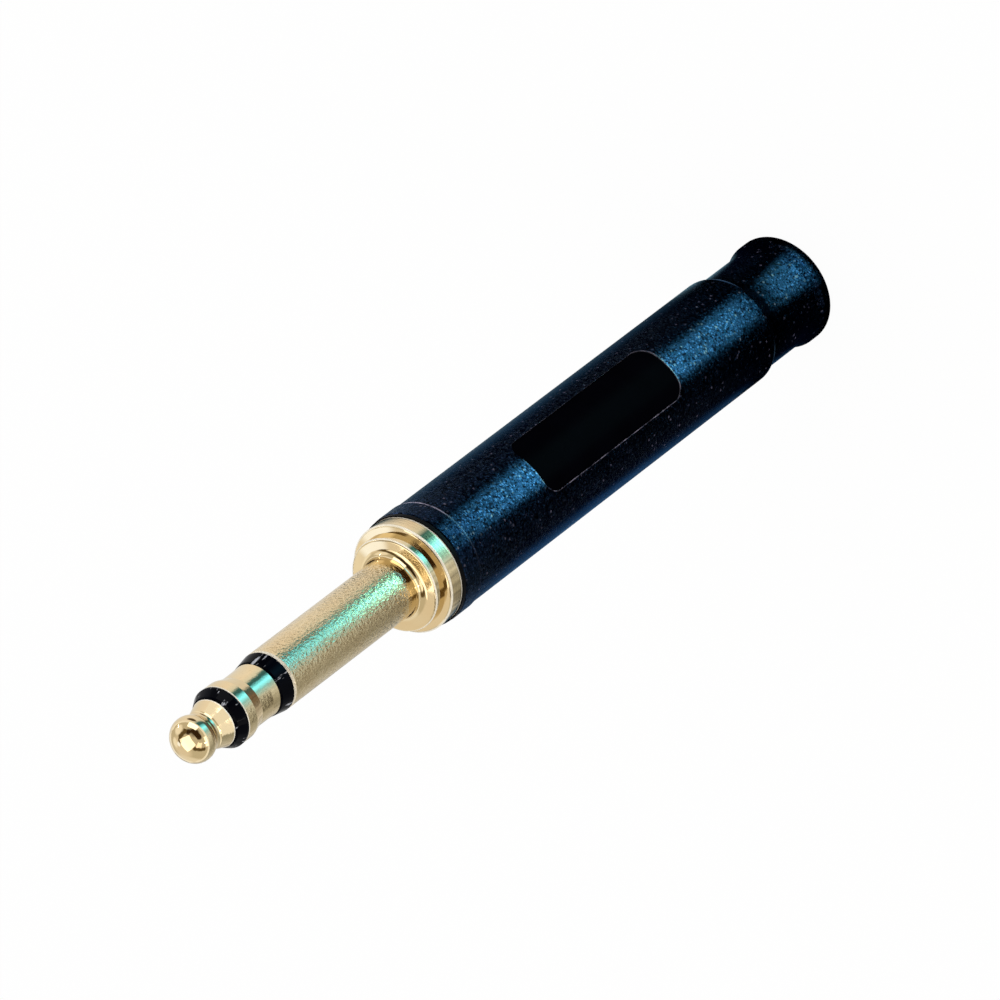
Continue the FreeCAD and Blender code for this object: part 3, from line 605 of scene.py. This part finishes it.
def wall_highlight_paint():
    """Paint on the panel's low wall, painted pale so that its edge reads as a highlight line."""
    material, tree, shader = new_material("panel_edge")
    clouds = effect(tree, "grain", Cloud_Scale=1100.0, Grain_Scale=6000.0)
    link(tree, mix_colors(tree, spread(tree, clouds["Cloud"], 0.40, 0.62), *PANEL_WALL_HIGHLIGHT_COLORS),
         shader.inputs["Base Color"])
    link(tree, varied(tree, clouds["Grain"], 0.4, 0.6), shader.inputs["Roughness"])
    shader.inputs["Specular IOR Level"].default_value = 0.2
    bump(tree, shader, clouds["Grain"], WALL_GRAIN, 0.5)
    return material


def gold_plate(settings, name, roughness, pit_depth, ring_depth, edges, pit_start=0.0, dome=0.0,
               thread_pitch=0.0):
    """Turned and plated gold, with a painted pale highlight line at its edges; the polish and the depth of
    its marks differ.
    Faces across the axis may be slightly domed, and a thread cut below the collar."""
    material, tree, shader = new_material(name)
    gold = tuple(settings.gold_color)
    deep, dark = scaled(gold, (0.95, 0.88, 0.80)), scaled(gold, (0.64, 0.58, 0.44))
    marks = effect(tree, "turning", Ring_Scale=8200.0, Scratch_Scale=2400.0)
    clouds = effect(tree, "grain", Cloud_Scale=420.0, Grain_Scale=5200.0)
    pits = effect(tree, "stipple", Pit_Scale=4200.0, From_Height=pit_start)
    edge_highlight = 0.0
    for edge, width in edges:
        band = effect(tree, "edge", Edge_Height=edge, Band_Width=width, Broken=0.3)
        edge_highlight = math_node(tree, "MAXIMUM", band["Highlight"], edge_highlight)

    tone = mix_colors(tree, spread(tree, clouds["Cloud"], 0.35, 0.7, 0.0, 0.6), gold, deep)
    # Deeper pits are darker, up to a limit
    darkest = min(0.45, pit_depth * 12 / MM)
    pitted = mix_colors(tree, spread(tree, pits["Pits"], 0.0, 1.0, 0.0, darkest), tone, dark)
    # Painted highlight: a pale cream line on the edges, less metallic and rougher
    link(tree, mix_colors(tree, edge_highlight, pitted, EDGE_HIGHLIGHT_GOLD), shader.inputs["Base Color"])
    link(tree, spread(tree, edge_highlight, 0.0, 1.0, 1.0, 0.35), shader.inputs["Metallic"])

    scratched = varied(tree, marks["Scratches"], roughness * 0.7, roughness * 1.3)
    rough = math_node(tree, "ADD", scratched, product(tree, clouds["Grain"], roughness * 0.3))
    polished = product(tree, rough, spread(tree, pits["Inside"], 0.0, 1.0, 0.45, 1.0))
    link(tree, math_node(tree, "ADD", polished, product(tree, edge_highlight, 0.4)), shader.inputs["Roughness"])

    height = math_node(tree, "ADD", product(tree, pits["Height"], pit_depth),
                       product(tree, marks["Rings"], ring_depth))
    if dome:
        height = math_node(tree, "SUBTRACT", height, product(tree, axis_distance(tree), dome))
    if thread_pitch:
        height = math_node(tree, "ADD", height, thread_relief(tree, thread_pitch))
    bump(tree, shader, height, 1.0)
    return material


def plain_metal(name, color, roughness):
    """Drawn or stamped metal with faint marks and dull patches."""
    material, tree, shader = new_material(name)
    marks = effect(tree, "turning", Ring_Scale=5200.0, Scratch_Scale=1900.0)
    clouds = effect(tree, "grain", Cloud_Scale=600.0, Grain_Scale=6000.0)
    dull = scaled(color, (0.62, 0.62, 0.62))
    link(tree, mix_colors(tree, spread(tree, clouds["Cloud"], 0.4, 0.75, 0.0, 0.7), color, dull),
         shader.inputs["Base Color"])
    shader.inputs["Metallic"].default_value = 1.0
    link(tree, varied(tree, marks["Scratches"], roughness * 0.75, roughness * 1.35),
         shader.inputs["Roughness"])
    bump(tree, shader, marks["Scratches"], METAL_SCRATCH, 0.5)
    return material


def plastic(name, color, light, roughness, level, edges=(), scuff_glint=0.0, clear=0.0):
    """Moulded or extruded plastic with clouding and a fine skin, its edges slightly rounded; it may have pale
    streaks along the axis, which are scuffs and painted glints at once, or let light through."""
    material, tree, shader = new_material(name)
    clouds = effect(tree, "grain", Cloud_Scale=700.0, Grain_Scale=8000.0)
    tone = mix_colors(tree, clouds["Cloud"], color, light)
    if scuff_glint:
        # Pale streaks along the axis: scuffs, and painted glints as well
        marks = effect(tree, "turning", Ring_Scale=5200.0, Scratch_Scale=1500.0)
        scuff_glints = spread(tree, marks["Scratches"], 0.61, 0.66, 0.0, scuff_glint)
        tone = mix_colors(tree, scuff_glints, tone, SCUFF_GLINT_COLOR)
    link(tree, tone, shader.inputs["Base Color"])
    link(tree, varied(tree, clouds["Grain"], roughness * 0.8, roughness * 1.25),
         shader.inputs["Roughness"])
    shader.inputs["Specular IOR Level"].default_value = level
    if clear:
        shader.inputs["Transmission Weight"].default_value = clear
        shader.inputs["IOR"].default_value = CLEAR_IOR
    height = product(tree, clouds["Grain"], PLASTIC_GRAIN)
    for edge, width in edges:
        band = effect(tree, "edge", Edge_Height=edge, Band_Width=width)
        height = math_node(tree, "SUBTRACT", height, product(tree, band["Near"], width * 0.6))
    bump(tree, shader, height, 1.0)
    return material


def dress(names, material):
    for name in names:
        mesh = NODES[name].data
        mesh.materials.clear()
        mesh.materials.append(material)


# Screw threads

def helix_ridge(name, base, crest, low, high, pitch, body, material):
    """A ridge that winds from low to high; it fades in and out over half a turn."""
    steps = 72
    fade = steps // 2
    thinnest = 0.2
    half = pitch * 0.46
    crown = half * 0.18
    count = int((high - low - 2 * half) / pitch * steps)
    corners, faces = [], []
    for i in range(count + 1):
        angle = 2 * math.pi * i / steps
        height = low + half + pitch * i / steps
        grow = min(1.0, i / fade, (count - i) / fade)
        top = base + (crest - base) * grow
        for radius, lift in ((base, -half), (top, -crown), (top, crown), (base, half)):
            corners.append((radius * math.cos(angle), radius * math.sin(angle),
                            height + lift * max(grow, thinnest)))
    for i in range(count):
        for j in range(4):
            a, b = 4 * i + j, 4 * i + (j + 1) % 4
            faces.append((a, b, b + 4, a + 4))
    faces.append((0, 3, 2, 1))
    faces.append(tuple(4 * count + j for j in range(4)))
    mesh = bpy.data.meshes.new(name)
    mesh.from_pydata(corners, [], faces)
    mesh.validate()
    mesh.update()
    ridge = bpy.data.objects.new(name, mesh)
    bpy.context.scene.collection.objects.link(ridge)
    mesh.materials.append(material)
    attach(ridge, body)


# Operators

class JACK_OT_shell(bpy.types.Operator):
    """Paints the shell and its label panel, and cuts its inner thread"""
    bl_idname = "jack.shell"
    bl_label = "Shell"

    def execute(self, context):
        settings = context.scene.jack_shell
        paint = shell_paint(settings)
        dress(["shell"], paint)
        shell = NODES["shell"].data
        shell.materials.append(panel_paint())
        shell.materials.append(wall_highlight_paint())
        floor_slot, wall_slot = 1, 2
        # On the -Y side the panel's floor lies under the barrel's skin, and its wall doesn't face outwards
        for face in shell.polygons:
            middle, radius = face.center, face.center.xy.length
            if not (PANEL_LOW - PANEL_MARGIN < middle.z < PANEL_HIGH + PANEL_MARGIN
                    and middle.y < 0 and PANEL_DEEPEST < radius < PANEL_SKIN):
                continue
            outward = face.normal.xy.dot(middle.xy) / radius
            if abs(outward) < WALL_FACING:
                face.material_index = wall_slot
            elif radius < PANEL_FLOOR:
                face.material_index = floor_slot
        helix_ridge("shell_thread", base=BORE_RADIUS + 0.002 * MM, crest=BORE_RADIUS - 0.035 * MM,
                    low=THREAD_LOW, high=THREAD_HIGH, pitch=settings.thread_pitch,
                    body="shell", material=paint)
        return {"FINISHED"}


class JACK_OT_gold(bpy.types.Operator):
    """Plates the sleeve, the ring and the tip, and winds the sleeve's thread"""
    bl_idname = "jack.gold"
    bl_label = "Gold contacts"

    def execute(self, context):
        metals = context.scene.jack_metals
        pitch = context.scene.jack_shell.thread_pitch
        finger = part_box("sleeve_contact")[1].z
        turned = gold_plate(
            metals, "gold_turned", roughness=0.13, pit_depth=0.06 * MM, ring_depth=0.0012 * MM,
            edges=((finger - 0.06 * MM, 0.14 * MM), *COLLAR_EDGES), pit_start=FINGER_REAR,
            dome=0.16, thread_pitch=pitch)
        dress(["sleeve_contact"], turned)
        ring_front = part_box("ring_contact")[1].z
        dress(["ring_contact"], gold_plate(
            metals, "gold_ring", roughness=0.07, pit_depth=0.008 * MM, ring_depth=0.001 * MM,
            edges=((ring_front - 0.05 * MM, 0.1 * MM),)))
        dress(["tip_contact"], gold_plate(
            metals, "gold_polished", roughness=0.05, pit_depth=0.002 * MM, ring_depth=0.0006 * MM,
            edges=((SKIRT_EDGE, 0.1 * MM),)))
        helix_ridge("sleeve_thread", base=THREAD_RADIUS - 0.01 * MM, crest=THREAD_RADIUS + 0.008 * MM,
                    low=THREAD_LOW + 0.2 * MM, high=THREAD_HIGH, pitch=pitch,
                    body="contacts", material=turned)
        return {"FINISHED"}


class JACK_OT_insulators(bpy.types.Operator):
    """Finishes the black rings, the washer, the bush and the spacer"""
    bl_idname = "jack.insulators"
    bl_label = "Insulators"

    def execute(self, context):
        fronts = [(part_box(name)[1].z, 0.2 * MM) for name in ("ring_insulator", "tip_insulator")]
        gloss = plastic("black_gloss", (0.0004, 0.0005, 0.0012), (0.0010, 0.0014, 0.0040),
                        roughness=0.07, level=0.04, edges=fronts, scuff_glint=0.8)
        dress(["ring_insulator", "tip_insulator"], gloss)
        nylon = plastic("black_nylon", (0.0006, 0.0006, 0.0010), (0.002, 0.002, 0.003),
                        roughness=0.42, level=0.06)
        dress(["collar_washer", "rear_bush", "lug_spacer"], nylon)
        return {"FINISHED"}


class JACK_OT_inner(bpy.types.Operator):
    """Finishes the rod, its tubes, the rivet washer and the liner"""
    bl_idname = "jack.inner"
    bl_label = "Rod, tubes and liner"

    def execute(self, context):
        metals = context.scene.jack_metals
        dress(["centre_rod", "ring_tube", "rivet_washer"],
              plain_metal("bare_brass", tuple(metals.brass_color), 0.24))
        dress(["rod_insulation", "tube_insulation"],
              plastic("white_tube", (0.78, 0.78, 0.74), (0.68, 0.68, 0.63), roughness=0.45, level=0.4))
        dress(["liner"],
              plastic("clear_liner", (0.94, 0.96, 0.97), (0.88, 0.92, 0.93),
                      roughness=0.12, level=0.4, clear=0.82))
        return {"FINISHED"}


class JACK_OT_lugs(bpy.types.Operator):
    """Finishes the solder lugs, the ground lug and the ferrule"""
    bl_idname = "jack.lugs"
    bl_label = "Lugs and ferrule"

    def execute(self, context):
        tin = plain_metal("tinned_lug", tuple(context.scene.jack_metals.tin_color), 0.3)
        dress(["ring_lug", "tip_lug", "ground_lug", "crimp_ferrule"], tin)
        return {"FINISHED"}


# Studio

def view_axes():
    """The turn from the plug's frame to the camera's, and the plug's axis in the camera's frame."""
    tilt, roll, turn = (math.radians(angle) for angle in (VIEW_TILT, VIEW_ROLL, PANEL_TURN))
    along = Vector((-math.cos(roll) * math.sin(tilt), -math.sin(roll) * math.sin(tilt), math.cos(tilt)))
    across = Vector((math.sin(roll), -math.cos(roll), 0))
    facing = along.cross(across)
    panel = facing * math.cos(turn) - across * math.sin(turn)
    side = along.cross(panel)
    return Matrix((side, -panel, along)).transposed(), along


def make_camera():
    turn, along = view_axes()
    offset = Vector((*VIEW_OFFSET, 0))
    spot = turn.transposed() @ (Vector((0, 0, VIEW_DISTANCE)) - offset + along * AIM_HEIGHT)
    camera = bpy.data.objects.new("camera", bpy.data.cameras.new("camera"))
    camera.data.lens = 360.0
    camera.data.sensor_width = 36.0
    camera.data.clip_start = 0.01
    camera.data.clip_end = 20.0
    camera.matrix_world = Matrix.Translation(spot * MM) @ turn.transposed().to_4x4()
    bpy.context.scene.collection.objects.link(camera)
    bpy.context.scene.camera = camera
    return camera


def bare_material(name):
    material = bpy.data.materials.new(name)
    material.use_nodes = True
    tree = material.node_tree
    tree.nodes.clear()
    return material, tree, tree.nodes.new("ShaderNodeOutputMaterial")


def floor_material(settings):
    material, tree, end = bare_material("floor")
    diffuse = tree.nodes.new("ShaderNodeBsdfDiffuse")
    diffuse.inputs["Color"].default_value = (*settings.floor_color, 1)
    path = tree.nodes.new("ShaderNodeLightPath")
    seen = path.outputs["Is Camera Ray"]
    for kind in ("Is Glossy Ray", "Is Transmission Ray"):
        seen = math_node(tree, "ADD", seen, path.outputs[kind], clamp=True)
    mix = tree.nodes.new("ShaderNodeMixShader")
    link(tree, product(tree, seen, settings.floor_glow), mix.inputs["Fac"])
    link(tree, diffuse.outputs[0], mix.inputs[1])
    link(tree, tree.nodes.new("ShaderNodeEmission").outputs[0], mix.inputs[2])
    link(tree, mix.outputs[0], end.inputs["Surface"])
    return material


def ramp(tree, share, stops, streak):
    """Colours round the axis, from stops in degrees."""
    node = tree.nodes.new("ShaderNodeValToRGB")
    elements = node.color_ramp.elements
    while len(elements) < len(stops):
        elements.new(0.5)
    for element, (angle, color) in zip(elements, stops):
        element.position = (angle + 180) / 360
    for element, (angle, color) in zip(elements, stops):
        element.color = (*(color or streak), 1)
    link(tree, share, node.inputs["Fac"])
    return node.outputs["Color"]


def shell_glow(tree, radius, turn, streak):
    """What the shell mirrors: the inner zone, black for its shoulder and its tail's edge, with a sheen."""
    shoulder = spread(tree, distance_to(tree, radius, SHOULDER_MIDDLE), *SHOULDER_GAP, 0.02, 1.0)
    tail = spread(tree, radius, *TAIL_EDGE)
    fade = product(tree, spread(tree, radius, *FRONT_FADE, 1.0, 0.5),
                   spread(tree, radius, *REAR_FADE, 0.42, 1.0))
    lit = product(tree, shoulder, tail, fade)
    color = mix_colors(tree, lit, (0, 0, 0), ramp(tree, turn, SHELL_ZONE, streak))
    sheen = product(tree, spread(tree, turn, *TAIL_SHEEN_TURN), spread(tree, radius, *TAIL_SHEEN, 1.0, 0.0))
    return mix_colors(tree, sheen, color, TAIL_SHEEN_COLOR)


def contact_glow(tree, where, radius, turn, streak):
    """What the contacts mirror: the outer zone, with a dark spot beside the plug and one for the ring."""
    spot = spread(tree, vector_math(tree, "DISTANCE", where, DARK_SPOT), *DARK_SPOT_EDGE)
    color = mix_colors(tree, spot, DARK_SPOT_COLOR, ramp(tree, turn, CONTACT_ZONE, streak))
    along = spread(tree, distance_to(tree, radius, RING_PATCH_MIDDLE), *RING_PATCH_EDGE, 1.0, 0.0)
    beside = spread(tree, distance_to(tree, turn, RING_PATCH_TURN), *RING_PATCH_SPREAD, 1.0, 0.0)
    return mix_colors(tree, product(tree, along, beside), color, RING_PATCH_COLOR)


def reflector_material(settings):
    material, tree, end = bare_material("reflector")
    where = place(tree)
    parts = split(tree, where)
    radius = vector_math(tree, "LENGTH", where)
    turn = spread(tree, math_node(tree, "ARCTAN2", parts["Y"], parts["X"]), -math.pi, math.pi)
    streak, shell_streak = tuple(settings.streak_color), tuple(settings.shell_streak)
    color = mix_colors(tree, spread(tree, radius, *ZONE_EDGE), shell_glow(tree, radius, turn, shell_streak),
                       contact_glow(tree, where, radius, turn, streak))
    # Slopes that face backward look down steeply: the contacts' past the dark zone at a warm one, the
    # shell's at the near zone
    facing = tree.nodes.new("ShaderNodeLayerWeight").outputs["Facing"]
    outer = spread(tree, radius, *STEEP_START)
    steep = product(tree, spread(tree, facing, *STEEP_FACING, 1.0, 0.0), outer)
    color = mix_colors(tree, steep, color, ramp(tree, turn, STEEP_ZONE, streak))
    inner = math_node(tree, "SUBTRACT", 1.0, outer)
    near = product(tree, spread(tree, facing, *NEAR_FACING, 1.0, 0.0), inner)
    color = mix_colors(tree, near, color, ramp(tree, turn, NEAR_ZONE, streak))
    mottled = product(tree, varied(tree, noise(tree, where, 150.0, 2.0), -0.5, 0.5),
                      spread(tree, turn, *MOTTLED_TURN, 0.9, 0.0))
    glow = tree.nodes.new("ShaderNodeEmission")
    link(tree, color, glow.inputs["Color"])
    link(tree, product(tree, math_node(tree, "ADD", mottled, 1.0), settings.reflector_strength),
         glow.inputs["Strength"])
    link(tree, glow.outputs[0], end.inputs["Surface"])
    return material


def make_reflector(settings, facing):
    """A glowing disc on the floor that only gloss sees; its +X side faces the camera."""
    bpy.ops.mesh.primitive_circle_add(vertices=96, radius=REFLECTOR_SIZE, fill_type="NGON")
    disc = bpy.context.active_object
    disc.name = "reflector"
    disc.location.z = REFLECTOR_HEIGHT
    disc.rotation_euler.z = facing
    disc.data.materials.append(reflector_material(settings))
    disc.visible_camera = disc.visible_diffuse = disc.visible_shadow = disc.visible_transmission = False


def soft_light(name, facing, turn, rise, size, power, color):
    """A soft light, placed by its angles from the camera's side and from the floor."""
    light = bpy.data.lights.new(name, "AREA")
    light.shape = "RECTANGLE"
    light.size, light.size_y = size
    light.energy = power
    light.color = color
    holder = bpy.data.objects.new(name, light)
    out = aim(facing, turn, rise)
    holder.location = out * LIGHT_DISTANCE + Vector((0, 0, PLUG_TOP / 2))
    holder.rotation_euler = (-out).to_track_quat("-Z", "Y").to_euler()
    holder.visible_camera = False
    bpy.context.scene.collection.objects.link(holder)


def aim(facing, turn, rise):
    """Direction at some degrees round the axis from the camera's side and above the floor."""
    angle, lift = facing + math.radians(turn), math.radians(rise)
    return Vector((math.cos(lift) * math.cos(angle), math.cos(lift) * math.sin(angle), math.sin(lift)))


def make_room(settings, facing):
    """White to the camera and even light on the object; gloss sees a warm room with panes and dark gaps."""
    world = bpy.data.worlds.new("studio")
    bpy.context.scene.world = world
    world.use_nodes = True
    tree = world.node_tree
    tree.nodes.clear()
    end = tree.nodes.new("ShaderNodeOutputWorld")
    sky = tree.nodes.new("ShaderNodeBackground")
    path = tree.nodes.new("ShaderNodeLightPath")
    view = tree.nodes.new("ShaderNodeTexCoord").outputs["Generated"]
    room = ROOM
    for turn, rise, radius, color in ROOM_PATCHES:
        near = vector_math(tree, "DOT_PRODUCT", view, aim(facing, turn, rise))
        start, full = (math.cos(math.radians(radius * share)) for share in PATCH_EDGE)
        room = mix_colors(tree, spread(tree, near, start, full), room, color)
    link(tree, mix_colors(tree, path.outputs["Is Glossy Ray"], (1, 1, 1), room), sky.inputs["Color"])
    lit = spread(tree, path.outputs["Is Diffuse Ray"], 0.0, 1.0, 1.0, settings.room_light)
    link(tree, lit, sky.inputs["Strength"])
    link(tree, sky.outputs[0], end.inputs["Surface"])


class JACK_OT_stage(bpy.types.Operator):
    """Sets up the camera, the floor, the reflector and the soft lights"""
    bl_idname = "jack.stage"
    bl_label = "Stage"

    def execute(self, context):
        settings = context.scene.jack_stage
        camera = make_camera()
        bpy.ops.mesh.primitive_grid_add(x_subdivisions=4, y_subdivisions=4, size=FLOOR_SIZE)
        floor = context.active_object
        floor.name = "floor"
        floor.location.z = FLOOR_HEIGHT
        floor.data.materials.append(floor_material(settings))
        toward = camera.location.xy.normalized()
        facing = math.atan2(toward.y, toward.x)
        make_reflector(settings, facing)
        for name, turn, rise, size, share, color in LIGHTS:
            soft_light(name, facing, turn, rise, size, settings.light_power * share, color)
        make_room(settings, facing)
        context.scene.view_settings.view_transform = "Standard"
        return {"FINISHED"}


class JACK_PT_panel(bpy.types.Panel):
    """Lists the plug's settings and steps"""
    bl_label = "Jack plug"
    bl_idname = "JACK_PT_panel"
    bl_space_type = "VIEW_3D"
    bl_region_type = "UI"
    bl_category = "Jack plug"

    def draw(self, context):
        scene = context.scene
        for group in (scene.jack_stage, scene.jack_shell, scene.jack_metals):
            box = self.layout.box()
            for name in group.bl_rna.properties.keys():
                if name not in ("rna_type", "name"):
                    box.prop(group, name)
        for operator in OPERATORS:
            self.layout.operator(operator.bl_idname)


SETTINGS = {
    "jack_stage": JackStageSettings,
    "jack_shell": JackShellSettings,
    "jack_metals": JackMetalSettings,
}
OPERATORS = (JACK_OT_stage, JACK_OT_shell, JACK_OT_gold, JACK_OT_insulators, JACK_OT_inner, JACK_OT_lugs)


def register():
    for group in SETTINGS.values():
        bpy.utils.register_class(group)
    for name, group in SETTINGS.items():
        setattr(bpy.types.Scene, name, bpy.props.PointerProperty(type=group))
    for item in (*OPERATORS, JACK_PT_panel):
        bpy.utils.register_class(item)


def unregister():
    for item in (JACK_PT_panel, *reversed(OPERATORS)):
        bpy.utils.unregister_class(item)
    for name, group in SETTINGS.items():
        delattr(bpy.types.Scene, name)
        bpy.utils.unregister_class(group)


def main():
    register()
    bpy.ops.jack.stage()
    bpy.ops.jack.shell()
    bpy.ops.jack.gold()
    bpy.ops.jack.insulators()
    bpy.ops.jack.inner()
    bpy.ops.jack.lugs()


if __name__ == "__main__":
    main()
